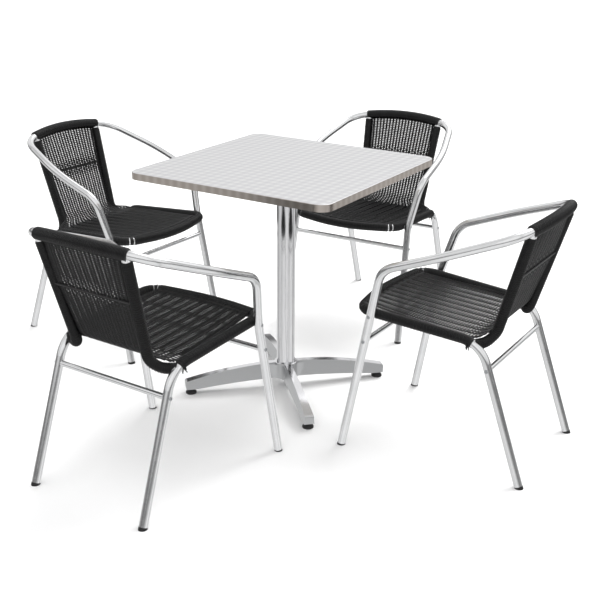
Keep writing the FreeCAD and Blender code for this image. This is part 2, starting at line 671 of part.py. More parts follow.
def glide_pad(number):
    """A round tread with a covered seat in which the stud's flange turns."""
    place = glide_place(number)
    disc = Part.makeCylinder(GLIDE_DIAMETER / 2, GLIDE_EDGE, place)
    dome = Part.makeCone(GLIDE_DIAMETER / 2, GLIDE_DIAMETER / 2 - GLIDE_SHOULDER, GLIDE_HEIGHT - GLIDE_EDGE,
                         place + Vector(0, 0, GLIDE_EDGE))
    body = disc.fuse(dome).removeSplitter()
    ground = [edge for edge in body.Edges if edge.BoundBox.ZMax < 0.01]
    body = body.makeFillet(GLIDE_FLOOR_RADIUS, ground)
    seat = Part.makeCylinder(STUD_FLANGE_RADIUS + RUNNING_GAP, STUD_FLANGE_HEIGHT + 2 * RUNNING_GAP,
                             place + Vector(0, 0, STUD_SEAT - RUNNING_GAP))
    neck = Part.makeCylinder(STUD_DIAMETER / 2 + RUNNING_GAP, GLIDE_HEIGHT, place + Vector(0, 0, STUD_SEAT))
    return one_solid(body.cut([seat, neck]))


def glide_stud(number):
    place = glide_place(number)
    flange = Part.makeCylinder(STUD_FLANGE_RADIUS, STUD_FLANGE_HEIGHT, place + Vector(0, 0, STUD_SEAT))
    shank = Part.makeCylinder(STUD_DIAMETER / 2, STUD_TOP - STUD_SEAT, place + Vector(0, 0, STUD_SEAT))
    return one_solid(flange.fuse(shank).removeSplitter())


def table_parts():
    parts = {
        "top_skin": top_skin(),
        "top_core": top_core(),
        "top_spider": top_spider(),
        "spider_screws": spider_screws(),
        "column": column(),
        "tie_rod": tie_rod(),
        "rod_nuts": rod_nuts(),
        "base_casting": base_casting(),
    }
    for number in range(4):
        parts[f"glide_pad_{number + 1}"] = glide_pad(number)
        parts[f"glide_stud_{number + 1}"] = glide_stud(number)
    return parts


# ---------------------------------------------------------------- the set
def main():
    os.makedirs("parts", exist_ok=True)
    everything = {}
    for name, shape in table_parts().items():
        everything[name] = shape.translated(TABLE_CENTRE)
    pieces = chair_parts()
    for number, (x, y, heading) in enumerate(CHAIR_PLACES, start=1):
        place = FreeCAD.Placement(TABLE_CENTRE + Vector(x, y, 0), FreeCAD.Rotation(Vector(0, 0, 1), heading))
        for name, shape in pieces.items():
            everything[f"chair_{number}_{name}"] = shape.transformed(place.toMatrix())
    box = FreeCAD.BoundBox()
    for name, shape in everything.items():
        shape.exportStep(f"parts/{name}.step")
        box.add(shape.optimalBoundingBox())
        print(f"{name}: {len(shape.Solids)} solid(s), {shape.Volume / 1000:.1f} cm3, valid {shape.isValid()}")
    print(f"{len(everything)} nodes, size {box.XLength:.1f} x {box.YLength:.1f} x {box.ZLength:.1f} mm")
    print(f"middle of the footprint {box.Center.x:.2f}, {box.Center.y:.2f}, lowest {box.ZMin:.3f}")


main()
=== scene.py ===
import json
import math

import bpy
import numpy as np
from mathutils import Matrix, Vector


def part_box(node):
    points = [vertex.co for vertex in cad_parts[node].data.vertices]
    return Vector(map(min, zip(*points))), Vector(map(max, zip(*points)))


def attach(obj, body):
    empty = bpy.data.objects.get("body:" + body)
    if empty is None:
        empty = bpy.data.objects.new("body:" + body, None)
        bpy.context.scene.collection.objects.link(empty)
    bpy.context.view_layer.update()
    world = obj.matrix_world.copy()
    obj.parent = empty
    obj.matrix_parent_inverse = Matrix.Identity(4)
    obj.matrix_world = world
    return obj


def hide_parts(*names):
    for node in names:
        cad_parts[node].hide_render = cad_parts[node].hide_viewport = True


# Patio dining set: a square pedestal table and four tubular armchairs with woven seats and backs.
# Chair sizes are millimetres in the chair's own frame, x forward, y to the sitter's left, z up.

MM = 0.001
CHAIRS = (1, 2, 3, 4)

# ---------------------------------------------------------------- chair frame, as in the CAD source
TOP_RAIL = ((-20.0, 260.0, 645.0), (-217.0, 208.0, 720.0), (-264.0, 0.0, 745.0),
            (-217.0, -208.0, 720.0), (-20.0, -260.0, 645.0))
TOP_RAIL_RADII = (100.0, 560.0, 100.0)
SEAT_RAIL = ((-272.0, 198.0, 0.0), (-127.0, 193.0, 401.0), (243.0, 204.5, 428.0), (285.0, 0.0, 420.0),
             (243.0, -204.5, 428.0), (-127.0, -193.0, 401.0), (-272.0, -198.0, 0.0))
SEAT_RAIL_RADII = (90.0, 52.0, 550.0, 52.0, 90.0)
POST = ((-232.0, 149.0, 727.0), (-138.0, 126.0, 388.0), (-106.0, 193.5, 393.0))
POST_RADII = (45.0,)
SEAT_MOUNT_X = 90.0             # the seat mount's place, forward of the chair's origin
TUBE_RADIUS = 12.5
AXIS_STEP = 3.0                 # distance between points along a tube's axis

# ---------------------------------------------------------------- weave
BACK_LINE_RADIUS = 1.75
SEAT_LINE_RADIUS = 1.6
BACK_ROW_RADIUS = 1.4
SEAT_ROW_RADIUS = 1.45
SEAT_ROW_TILT = math.radians(80.0)      # the two strands of a row lie nearly on top of each other
WEAVE_LINES = 20                # lines that run down the back and forward over the seat
# every second line lies this far over the weave's middle, the rest half as far under it
BACK_LINE_RISE = 0.5
SEAT_LINE_RISE = 1.9
ROW_RISE = 0.7                  # rows dip under every second line and rise over the rest
BACK_ROW_PITCH = 7.0
SEAT_ROW_PITCH = 8.6
PITCH_CHANGE = 60.0             # stretch over which the rows go from one pitch to the other
WEAVE_LIFT = 6.0                # seat weave above the rail's axis
WEAVE_FOOT_X = -138.0
WEAVE_JOINT_X = -75.0           # where the back weave hands over to the seat weave
WEAVE_BEND_RADIUS = 60.0
SIDE_CHANGE_START = 6.0         # above the foot, the sides change from the rails' width to the posts'
SIDE_CHANGE_HEIGHT = 40.0
TOP_BOW_STRETCH = 170.0         # part of the back that takes up the top rail's bow
FRONT_BOW_STRETCH = 200.0       # part of the seat that takes up the front rail's bow
FRONT_BOW_MARGIN = 25.0         # the bow starts this far behind the front corners
STEPS_PER_CROSSING = 4          # points along a row from one line to the next
LINE_STEP = 4.0                 # distance between the points along a line
OPEN_BAND_LOW = 556.0           # stretch of the back where the rows part into diamonds
OPEN_BAND_HIGH = 622.0
OPEN_BAND_SWING = 3.2
OPEN_BAND_FADE = 2.8            # how sharply the parting starts at the band's ends
ROW_OVERLAP = 7.0               # how far rows run into the winding on the tubes
BORDER_INSETS = (4.0, -1.0)     # border strands along the sides, from the visible ends of the rows
FRONT_BORDER = 34.0             # border strands across the seat, from the front rail's axis

# half the width of the weave's lines, and of its rows, at distances forward
SEAT_STATIONS = (-138.0, -118.0, -95.0, -60.0, 60.0, 243.0)
LINE_HALF_WIDTHS = (114.0, 140.0, 160.0, 168.0, 175.0, 184.0)
ROW_HALF_WIDTHS = (128.0, 171.0, 184.0, 185.0, 187.0, 197.0)

# ---------------------------------------------------------------- winding on the tubes
TOP_WINDING_RADIUS = 17.5
TOP_WINDING_HALF_LENGTH = 158.0
TOP_WINDING_STRAND = 1.75
SIDE_WINDING_RADIUS = 15.5      # on the posts and the seat rails
POST_WINDING_STRAND = 1.35
POST_LINER_DEPTH = 2.2          # sleeve under the winding, from the winding's outside
SEAT_WINDING_STRAND = 1.6
SEAT_LINER_DEPTH = 2.1
SEAT_TURN_PITCH = 3.3
SEAT_TURN_LIFTS = (0.0, -0.8, -0.8)     # every third turn stands proud of the others
TURN_STEPS = 16                 # points round each turn
LINER_SIDES = 24
STRAND_SIDES = 6
CORNER_START = 8.0              # the side rails' winding ends this far behind the front corners
CORNER_GAP = 2.2                # bare tube that shows in the winding at each front corner
CORNER_BAND = 11.0              # winding between the two gaps of a front corner
SEAT_WINDING_START = 10.0       # along the tube, past the rear bend's vertex
LOOSE_ENDS = 9                  # cut strand ends that stick out at each rear corner

# ---------------------------------------------------------------- light and camera, in metres
LIGHT_DIRECTION = Vector((0.08, 0.56, 0.83)).normalized()       # from the set towards the main light
FILL_DIRECTION = Vector((-0.2, -0.25, 0.95)).normalized()
WORLD_STRENGTH = 1.2
SOFT_BOX_STRENGTH = 1.6
SUNS = (                        # name, direction towards it, strength, width in degrees
    ("main_light", LIGHT_DIRECTION, 1.9, 28.0),
    ("fill_light", FILL_DIRECTION, 1.3, 120.0),
)
FLOOR_HALF = 30.0

# greys of the studio from straight down (0) to straight up (1), and once round it
WORLD_BY_HEIGHT = ((0.0, 0.85), (0.25, 0.95), (0.4, 0.82), (0.45, 0.42), (0.5, 0.14), (0.54, 0.2),
                   (0.59, 0.88), (0.8, 1.0), (1.0, 0.85))
WORLD_BY_BEARING = ((0.0, 0.9), (0.05, 0.45), (0.1, 0.95), (0.2, 0.75), (0.24, 1.0), (0.42, 1.0),
                    (0.45, 0.7), (0.48, 1.0), (0.58, 1.0), (0.62, 0.45), (0.67, 1.0), (0.9, 0.92))
CAMERA_SENSOR = 36.0
CAMERA_LENS = 62.85
CAMERA_PLACE = Vector((1.8110, -2.7712, 1.5176))
CAMERA_RIGHT = Vector((0.84970, 0.52721, 0.00822))
CAMERA_UP = Vector((-0.19312, 0.29668, 0.93525))


# ---------------------------------------------------------------- colours and nodes
def linear(hex_colour):
    """RGBA for Blender from an sRGB hex colour."""
    channels = [int(hex_colour[k:k + 2], 16) / 255 for k in (1, 3, 5)]
    straight = [c / 12.92 if c <= 0.04045 else ((c + 0.055) / 1.055) ** 2.4 for c in channels]
    return (*straight, 1.0)


def add(tree, kind, inputs=None, **settings):
    """A new node with its settings; an input takes a value or another node's output socket."""
    node = tree.nodes.new(kind)
    for name, value in settings.items():
        setattr(node, name, value)
    for name, value in (inputs or {}).items():
        if isinstance(value, bpy.types.NodeSocket):
            tree.links.new(value, node.inputs[name])
        else:
            node.inputs[name].default_value = value
    return node


def blank_material(name):
    material = bpy.data.materials.new(name)
    material.use_nodes = True
    material.node_tree.nodes.clear()
    return material, material.node_tree


def millimetres(tree):
    """Place on the piece in millimetres."""
    place = add(tree, "ShaderNodeTexCoord").outputs["Object"]
    scaled = add(tree, "ShaderNodeVectorMath", {0: place, 1: (1 / MM, 1 / MM, 1 / MM)},
                 operation="MULTIPLY")
    return scaled.outputs["Vector"]


def grain(tree, place, size, detail=2.0):
    """Cloudy noise whose lumps are about this many millimetres across."""
    noise = add(tree, "ShaderNodeTexNoise", {"Vector": place, "Scale": 1.0 / size, "Detail": detail})
    return noise.outputs["Fac"]


def ramp(tree, value, *stops):
    """Colours or greys at places along a value from 0 to 1."""
    node = add(tree, "ShaderNodeValToRGB", {"Fac": value})
    elements = node.color_ramp.elements
    while len(elements) < len(stops):
        elements.new(0.5)
    for element, (position, colour) in zip(elements, stops):
        element.position = position
        element.color = linear(colour) if isinstance(colour, str) else (colour, colour, colour, 1.0)
    return node.outputs["Color"]


def finish_material(tree, **inputs):
    shader = add(tree, "ShaderNodeBsdfPrincipled", inputs)
    add(tree, "ShaderNodeOutputMaterial", {"Surface": shader.outputs["BSDF"]})


def bump(tree, height, depth_mm, strength=1.0):
    """Surface normal for a height from 0 to 1 that is this many millimetres deep."""
    node = add(tree, "ShaderNodeBump", {"Height": height, "Strength": strength, "Distance": depth_mm * MM})
    return node.outputs["Normal"]


def grey_along(tree, value, *stops):
    """One grey from a ramp, as a single number."""
    return add(tree, "ShaderNodeRGBToBW", {"Color": ramp(tree, value, *stops)}).outputs["Val"]


def product(tree, *values):
    result = values[0]
    for value in values[1:]:
        result = add(tree, "ShaderNodeMath", {0: result, 1: value}, operation="MULTIPLY").outputs[0]
    return result


# ---------------------------------------------------------------- materials
def polyethylene_strand():
    """Extruded black polyethylene: nearly black, with a soft sheen that runs along every strand."""
    material, tree = blank_material("polyethylene_strand")
    place = millimetres(tree)
    tone = grain(tree, place, 22.0, 3.0)
    colour = ramp(tree, tone, (0.3, "#070708"), (0.7, "#111112"))
    rough = ramp(tree, grain(tree, place, 5.0), (0.3, 0.3), (0.7, 0.44))
    finish_material(tree, **{"Base Color": colour, "Roughness": rough, "IOR": 1.46,
                             "Normal": bump(tree, grain(tree, place, 0.8), 0.05)})
    return material


def satin_anodised_tube():
    """Drawn and anodised aluminium tube: bright, with long soft highlights and a faint draw grain."""
    material, tree = blank_material("satin_anodised_tube")
    place = millimetres(tree)
    colour = ramp(tree, grain(tree, place, 60.0), (0.3, "#ebeced"), (0.7, "#f3f3f4"))
    rough = ramp(tree, grain(tree, place, 9.0, 4.0), (0.3, 0.14), (0.7, 0.2))
    finish_material(tree, **{"Base Color": colour, "Metallic": 1.0, "Roughness": rough,
                             "Normal": bump(tree, grain(tree, place, 1.5), 0.006)})
    return material


def polished_column():
    """Polished aluminium tube: close to a mirror, broken by fine lengthwise polishing marks."""
    material, tree = blank_material("polished_aluminium_column")
    place = millimetres(tree)
    stretched = add(tree, "ShaderNodeVectorMath", {0: place, 1: (1.0, 1.0, 0.02)}, operation="MULTIPLY")
    marks = grain(tree, stretched.outputs["Vector"], 1.2, 3.0)
    colour = ramp(tree, marks, (0.35, "#dddddf"), (0.65, "#ebebec"))
    rough = ramp(tree, marks, (0.3, 0.1), (0.7, 0.17))
    finish_material(tree, **{"Base Color": colour, "Metallic": 1.0, "Roughness": rough,
                             "Normal": bump(tree, marks, 0.004)})
    return material


def polished_casting():
    """Cast aluminium: the upward faces are polished, the drafted sides keep the mould's satin skin."""
    material, tree = blank_material("polished_aluminium_casting")
    place = millimetres(tree)
    normal = add(tree, "ShaderNodeNewGeometry").outputs["Normal"]
    upward = add(tree, "ShaderNodeSeparateXYZ", {"Vector": normal}).outputs["Z"]
    skin = grain(tree, place, 2.0, 4.0)
    colour = ramp(tree, upward, (0.5, "#c6c7c8"), (0.85, "#ececee"))
    side_rough = ramp(tree, skin, (0.3, 0.3), (0.7, 0.42))
    top_share = ramp(tree, upward, (0.5, 0.0), (0.85, 1.0))
    rough = add(tree, "ShaderNodeMix", {0: top_share, 2: side_rough, 3: 0.12}, data_type="FLOAT")
    finish_material(tree, **{"Base Color": colour, "Metallic": 1.0, "Roughness": rough.outputs[0],
                             "Normal": bump(tree, skin, 0.03, 0.6)})
    return material


def patterned_stainless_sheet(centre):
    """Rolled stainless sheet pressed with rows of shallow domes; the colour is painted lighter on each dome's
    crest as a painted highlight, and the sheet's sides take a darker, warmer grey as painted shade.
    """
    dome_pitch = 30.0
    material, tree = blank_material("patterned_stainless_sheet")
    place = millimetres(tree)
    middle = (centre.x / MM, centre.y / MM, 0.0)
    centred = add(tree, "ShaderNodeVectorMath", {0: place, 1: middle}, operation="SUBTRACT")
    parts = add(tree, "ShaderNodeSeparateXYZ", {"Vector": centred.outputs["Vector"]})
    waves = []
    for axis in ("X", "Y"):
        turns = add(tree, "ShaderNodeMath", {0: parts.outputs[axis], 1: 2 * math.pi / dome_pitch},
                    operation="MULTIPLY")
        waves.append(add(tree, "ShaderNodeMath", {0: turns.outputs[0]}, operation="COSINE").outputs[0])
    both = add(tree, "ShaderNodeMath", {0: waves[0], 1: waves[1]}, operation="ADD")
    dome = add(tree, "ShaderNodeMapRange", {"Value": both.outputs[0], "From Min": -2.0, "From Max": 2.0})
    height = dome.outputs["Result"]
    fine = grain(tree, place, 1.0, 3.0)
    rough = ramp(tree, fine, (0.3, 0.3), (0.7, 0.4))
    # painted highlight: the top's colour lightens towards each dome's crest
    top_colour_with_painted_highlight = ramp(tree, height, (0.1, "#e6e6e8"), (0.6, "#efeff0"), (0.95, "#fcfcfc"))
    normal = add(tree, "ShaderNodeNewGeometry").outputs["Normal"]
    upward = add(tree, "ShaderNodeSeparateXYZ", {"Vector": normal}).outputs["Z"]
    # painted shade: faces that don't point up take a darker, warmer grey, also lightened on the crests as
    # painted highlight
    side_colour_with_painted_shade_and_highlight = ramp(tree, height, (0.2, "#bdb4ac"), (0.6, "#cbc3bc"), (0.9, "#dfd8d1"))
    # share of the top that escapes the painted shade
    unshaded_top_share = ramp(tree, upward, (0.4, 0.0), (0.8, 1.0))
    colour = add(tree, "ShaderNodeMix", {0: unshaded_top_share, 6: side_colour_with_painted_shade_and_highlight, 7: top_colour_with_painted_highlight}, data_type="RGBA")
    finish_material(tree, **{"Base Color": colour.outputs[2], "Metallic": 1.0, "Roughness": rough,
                             "Normal": bump(tree, height, 0.15)})
    return material


def zinc_plated_steel():
    """Zinc-plated steel fixings: grey, a little cloudy and only half bright."""
    material, tree = blank_material("zinc_plated_steel")
    place = millimetres(tree)
    cloud = grain(tree, place, 3.0, 3.0)
    colour = ramp(tree, cloud, (0.3, "#a8abae"), (0.7, "#c9cbcd"))
    rough = ramp(tree, cloud, (0.3, 0.22), (0.7, 0.38))
    finish_material(tree, **{"Base Color": colour, "Metallic": 1.0, "Roughness": rough,
                             "Normal": bump(tree, cloud, 0.01)})
    return material


def moulded_nylon():
    """Black moulded nylon: matt, with the fine spark-eroded texture of its mould."""
    material, tree = blank_material("moulded_nylon")
    place = millimetres(tree)
    texture = grain(tree, place, 0.7, 2.0)
    colour = ramp(tree, grain(tree, place, 12.0), (0.3, "#101011"), (0.7, "#1a1a1b"))
    rough = ramp(tree, texture, (0.3, 0.42), (0.7, 0.58))
    finish_material(tree, **{"Base Color": colour, "Roughness": rough, "IOR": 1.53,
                             "Normal": bump(tree, texture, 0.03)})
    return material


def powder_coated_rod():
    """Black powder-coated steel rod: satin, with the coat's slight orange peel."""
    material, tree = blank_material("powder_coated_rod")
    place = millimetres(tree)
    peel = grain(tree, place, 2.5, 1.0)
    colour = ramp(tree, peel, (0.3, "#121213"), (0.7, "#1c1c1d"))
    rough = ramp(tree, peel, (0.3, 0.32), (0.7, 0.44))
    finish_material(tree, **{"Base Color": colour, "Roughness": rough, "IOR": 1.5,
                             "Normal": bump(tree, peel, 0.03)})
    return material


def fibreboard():
    """Fibreboard with a grey backing sheet: matt, with short pressed fibres showing through."""
    material, tree = blank_material("backed_fibreboard")
    place = millimetres(tree)
    fibres = grain(tree, place, 1.5, 4.0)
    colour = ramp(tree, fibres, (0.3, "#a9a7a4"), (0.7, "#bdbbb8"))
    rough = ramp(tree, fibres, (0.3, 0.75), (0.7, 0.9))
    finish_material(tree, **{"Base Color": colour, "Roughness": rough, "Normal": bump(tree, fibres, 0.08)})
    return material


def studio_floor():
    """White studio sweep: matt, evenly pale."""
    material, tree = blank_material("studio_sweep")
    place = millimetres(tree)
    colour = ramp(tree, grain(tree, place, 900.0, 1.0), (0.3, "#f6f6f6"), (0.7, "#fafafa"))
    finish_material(tree, **{"Base Color": colour, "Roughness": 0.6, "Specular IOR Level": 0.2})
    return material


def studio_world():
    """A pale studio: bright overhead, dim near the horizon, with a few darker uprights and one soft box."""
    world = bpy.data.worlds.new("studio")
    world.use_nodes = True
    tree = world.node_tree
    tree.nodes.clear()
    direction = add(tree, "ShaderNodeTexCoord").outputs["Generated"]
    parts = add(tree, "ShaderNodeSeparateXYZ", {"Vector": direction})
    rise = add(tree, "ShaderNodeMapRange", {"Value": parts.outputs["Z"], "From Min": -1.0})
    by_height = grey_along(tree, rise.outputs["Result"], *WORLD_BY_HEIGHT)
    bearing = add(tree, "ShaderNodeMath", {0: parts.outputs["Y"], 1: parts.outputs["X"]},
                  operation="ARCTAN2").outputs[0]
    turn = add(tree, "ShaderNodeMapRange", {"Value": bearing, "From Min": -math.pi, "From Max": math.pi})
    by_bearing = grey_along(tree, turn.outputs["Result"], *WORLD_BY_BEARING)
    towards_box = add(tree, "ShaderNodeVectorMath", {0: direction, 1: tuple(LIGHT_DIRECTION)},
                      operation="DOT_PRODUCT").outputs["Value"]
    box = grey_along(tree, towards_box, (0.9, 0.0), (0.95, 1.0))
    around = product(tree, by_height, by_bearing, WORLD_STRENGTH)
    total = add(tree, "ShaderNodeMath", {0: around, 1: product(tree, box, SOFT_BOX_STRENGTH)},
                operation="ADD")
    background = add(tree, "ShaderNodeBackground", {"Strength": total.outputs[0]})
    add(tree, "ShaderNodeOutputWorld", {"Surface": background.outputs["Background"]})
    return world


# ---------------------------------------------------------------- lines through space
def rounded_line(points, radii):
    """Evenly spaced points along straight runs joined by tangent arcs."""
    points = [np.array(point, float) for point in points]
    line = [points[0]]
    for before, corner, after, radius in zip(points, points[1:], points[2:], radii):
        into = (corner - before) / np.linalg.norm(corner - before)
        out_of = (after - corner) / np.linalg.norm(after - corner)
        half_turn = math.acos(np.clip(into @ out_of, -1, 1)) / 2
        reach = radius * math.tan(half_turn)
        inward = (out_of - into) / np.linalg.norm(out_of - into)
        centre = corner + inward * radius / math.cos(half_turn)
        first = corner - into * reach - centre
        for share in np.linspace(0, 1, 2 + int(2 * half_turn * radius / AXIS_STEP)):
            angle = share * 2 * half_turn
            line.append(centre + first * math.cos(angle) + into * radius * math.sin(angle))
    line.append(points[-1])
    line = np.array(line)
    length = distances(line)[-1]
    even = np.linspace(0, length, 2 + int(length / AXIS_STEP))
    return along(line, even)


def distances(line):
    """How far along a line each of its points is."""
    return np.concatenate([[0.0], np.cumsum(np.linalg.norm(np.diff(line, axis=0), axis=1))])


def along(line, distance):
    """Points at distances along a line."""
    known = distances(line)
    return np.stack([np.interp(distance, known, line[:, k]) for k in range(3)], axis=1)


def unit(vectors):
    return vectors / np.linalg.norm(vectors, axis=-1, keepdims=True)


def mirror(line):
    return line * np.array([1.0, -1.0, 1.0])


# ---------------------------------------------------------------- meshes of round strands
class StrandMesh:
    """Round strands gathered into one mesh."""

    def __init__(self):
        self.points = []
        self.faces = []
        self.count = 0

    def lay(self, line, outward, radius, sides=STRAND_SIDES):
        """One round strand along a line; outward is any direction across it, at each point or for all."""
        tangent = unit(np.gradient(line, axis=0))
        side = unit(np.cross(tangent, outward))
        normal = np.cross(side, tangent)
        angles = np.arange(sides) * 2 * math.pi / sides
        rings = (line[:, None] + radius * np.cos(angles)[None, :, None] * normal[:, None]
                 + radius * np.sin(angles)[None, :, None] * side[:, None])
        start = self.count
        self.points.append(rings.reshape(-1, 3))
        rows, columns = np.meshgrid(np.arange(len(line) - 1), np.arange(sides), indexing="ij")
        here = start + rows * sides + columns
        beside = start + rows * sides + (columns + 1) % sides
        quads = np.stack([here, here + sides, beside + sides, beside], axis=-1).reshape(-1, 4)
        self.faces.extend(quads.tolist())
        self.faces.append(list(range(start, start + sides)))
        last = start + (len(line) - 1) * sides
        self.faces.append(list(range(last + sides - 1, last - 1, -1)))
        self.count += len(line) * sides

    def mesh(self, name, material):
        made = bpy.data.meshes.new(name)
        made.from_pydata((np.concatenate(self.points) * MM).tolist(), [], self.faces)
        made.shade_smooth()
        made.materials.append(material)
        return made


def ring_directions(line, reference):
    """Two directions across a line at each point."""
    tangent = unit(np.gradient(line, axis=0))
    first = unit(np.cross(tangent, np.array(reference, float)))
    return first, np.cross(tangent, first)


def wind(strands, line, reference, outer_radius, pitch, radius, shift=0.0):
    """One strand wound round a tube's axis from end to end; shift moves its start along the tube."""
    known = distances(line)
    length = known[-1]
    turns = (length - 2 * radius) / pitch
    steps = np.linspace(0, turns, int(turns * TURN_STEPS) + 1)
    place = np.clip(radius + shift + steps * pitch, radius, length - radius)
    first, second = ring_directions(line, reference)
    position = np.interp(place, known, np.arange(len(line)))
    low = np.floor(position).astype(int).clip(0, len(line) - 2)
    share = (position - low)[:, None]
    centre = line[low] * (1 - share) + line[low + 1] * share
    across = unit(first[low] * (1 - share) + first[low + 1] * share)
    around = unit(second[low] * (1 - share) + second[low + 1] * share)
    angle = steps[:, None] * 2 * math.pi
    radial = across * np.cos(angle) + around * np.sin(angle)
    strands.lay(centre + radial * (outer_radius - radius), radial, radius)


def line_the_tube(strands, line, reference, outer_radius):
    """A sleeve under the winding, so that no bare tube shows between the strands."""
    first, second = ring_directions(line, reference)
    strands.lay(line, first, outer_radius, LINER_SIDES)


def part_of_line(line, start, end):
    count = max(3, int((end - start) / AXIS_STEP))
    return along(line, np.linspace(start, min(end, distances(line)[-1]), count))


# ---------------------------------------------------------------- shape of the weave
def rail_at(line, y):
    """Forward place and height of a rail's axis at places across the chair."""
    order = np.argsort(line[:, 1])
    return [np.interp(y, line[order, 1], line[order, k]) for k in (0, 2)]


def half_width(t, widths):
    """Half the weave's width at distances along its middle line."""
    middle = along(middle_line, t)
    post_y = np.interp(middle[:, 2], [POST[1][2], POST[0][2]], [POST[1][1], POST[0][1]])
    on_seat = np.interp(middle[:, 0], SEAT_STATIONS, widths)
    share = np.clip((middle[:, 2] - foot_z - SIDE_CHANGE_START) / SIDE_CHANGE_HEIGHT, 0, 1)
    return on_seat * (1 - share) + (post_y - SIDE_WINDING_RADIUS) * share


def skin(t, y):
    """Points of the weave's middle surface, from the top rail to the front rail."""
    middle = along(middle_line, t)
    x, z = middle[:, 0].copy(), middle[:, 2].copy()
    near_top = np.clip(1 - t / TOP_BOW_STRETCH, 0, 1) ** 2
    rail_x, rail_z = rail_at(wound_top, y)
    x += (rail_x - top_x) * near_top
    z += (rail_z - top_z) * near_top
    near_front = np.clip(1 - (middle_length - t) / FRONT_BOW_STRETCH, 0, 1) ** 1.5
    rail_x, rail_z = rail_at(front_bow, y)
    x += (rail_x - front_x) * near_front
    z += (rail_z - front_z) * near_front
    return np.stack([x, y, z], axis=1)


def skin_normal(t, y):
    """Direction out of the weave, towards the sitter."""
    down = skin(t + 1.0, y) - skin(t - 1.0, y)
    left = skin(t, y + 1.0) - skin(t, y - 1.0)
    return unit(np.cross(left, -down))


def row_places():
    """Distances of the rows along the middle line."""
    foot = middle_known[np.argmin(np.abs(middle_line[:, 2] - foot_z - WEAVE_BEND_RADIUS / 2))]
    places = []
    t = TOP_WINDING_RADIUS + 1.0
    while t < middle_length - SIDE_WINDING_RADIUS - 1.0:
        places.append(t)
        t += np.interp(t, (foot, foot + PITCH_CHANGE), (BACK_ROW_PITCH, SEAT_ROW_PITCH))
    return np.array(places)


def parting(t, line_number, row_number):
    """How far rows swing along the back where they part into diamonds."""
    height = along(middle_line, t)[:, 2]
    centre = (OPEN_BAND_LOW + OPEN_BAND_HIGH) / 2
    off_centre = np.abs(height - centre) / (OPEN_BAND_HIGH - OPEN_BAND_LOW)
    inside = np.clip((0.5 - off_centre) * OPEN_BAND_FADE, 0, 1)
    return OPEN_BAND_SWING * inside * np.cos(math.pi * line_number) * (-1) ** row_number


def weave_rows(strands, rows, radius, tilt=0.0):
    """Rows across the chair, each of two strands, side by side unless they are tilted."""
    for number, t in enumerate(rows):
        edge = half_width(np.array([t]), ROW_HALF_WIDTHS)[0] + ROW_OVERLAP
        line_edge = half_width(np.array([t]), LINE_HALF_WIDTHS)[0]
        y = np.linspace(-edge, edge, WEAVE_LINES * STEPS_PER_CROSSING + 1)
        line_number = (y / line_edge + 1) * WEAVE_LINES / 2 - 0.5
        level = t + parting(np.full_like(y, t), line_number, number)
        rise = ROW_RISE * np.cos(math.pi * line_number)
        for twin in (-0.5, 0.5):
            place = level + twin * 2 * radius * math.cos(tilt)
            normal = skin_normal(place, y)
            height = rise + twin * 2 * radius * math.sin(tilt)
            strands.lay(skin(place, y) + normal * height[:, None], normal, radius)


def weave_lines(strands, start, end, radius, rise, under_is_double):
    """Lines down the back and over the seat, over and under the rows by turns; those over are double."""
    t = np.linspace(start, end, int((end - start) / LINE_STEP))
    for number in range(WEAVE_LINES):
        share = (number + 0.5) / WEAVE_LINES * 2 - 1
        is_over = number % 2 == 1
        level = rise if is_over else -rise / 2
        for twin in (-0.5, 0.5) if is_over or under_is_double else (0.0,):
            y = share * half_width(t, LINE_HALF_WIDTHS) + twin * 2 * radius
            normal = skin_normal(t, y)
            strands.lay(skin(t, y) + normal * level, normal, radius)


def weave_borders(strands, start, end, radius):
    """Strands along each side of the weave, over the ends of the rows."""
    t = np.linspace(start, end, int((end - start) / LINE_STEP))
    for side in (-1, 1):
        for inset in BORDER_INSETS:
            y = side * (half_width(t, ROW_HALF_WIDTHS) - inset)
            normal = skin_normal(t, y)
            strands.lay(skin(t, y) + normal * radius, normal, radius)


def make_back_weave(rows, joint):
    strands = StrandMesh()
    weave_rows(strands, rows[rows < joint], BACK_ROW_RADIUS)
    weave_lines(strands, TUBE_RADIUS, joint, BACK_LINE_RADIUS, BACK_LINE_RISE, under_is_double=True)
    weave_borders(strands, TUBE_RADIUS, joint, BACK_LINE_RADIUS)
    return strands.mesh("back_weave", strand)


def make_seat_weave(rows, joint):
    strands = StrandMesh()
    weave_rows(strands, rows[rows >= joint], SEAT_ROW_RADIUS, SEAT_ROW_TILT)
    weave_lines(strands, joint, middle_length - TUBE_RADIUS, SEAT_LINE_RADIUS, SEAT_LINE_RISE,
                under_is_double=False)
    weave_borders(strands, joint, middle_length - TUBE_RADIUS, BACK_LINE_RADIUS)
    for shift in (0.0, 2 * SEAT_LINE_RADIUS):
        t = middle_length - FRONT_BORDER + shift
        edge = half_width(np.array([t]), ROW_HALF_WIDTHS)[0]
        y = np.linspace(-edge, edge, WEAVE_LINES * STEPS_PER_CROSSING + 1)
        level = np.full_like(y, t)
        normal = skin_normal(level, y)
        strands.lay(skin(level, y) + normal * 2 * SEAT_LINE_RISE, normal, SEAT_LINE_RADIUS)
    return strands.mesh("seat_weave", strand)


def make_top_winding():
    strands = StrandMesh()
    wind(strands, wound_top, (0, 0, 1), TOP_WINDING_RADIUS, 2 * TOP_WINDING_STRAND, TOP_WINDING_STRAND)
    line_the_tube(strands, wound_top, (0, 0, 1), TOP_WINDING_RADIUS - TOP_WINDING_STRAND)
    return strands.mesh("top_winding", strand)


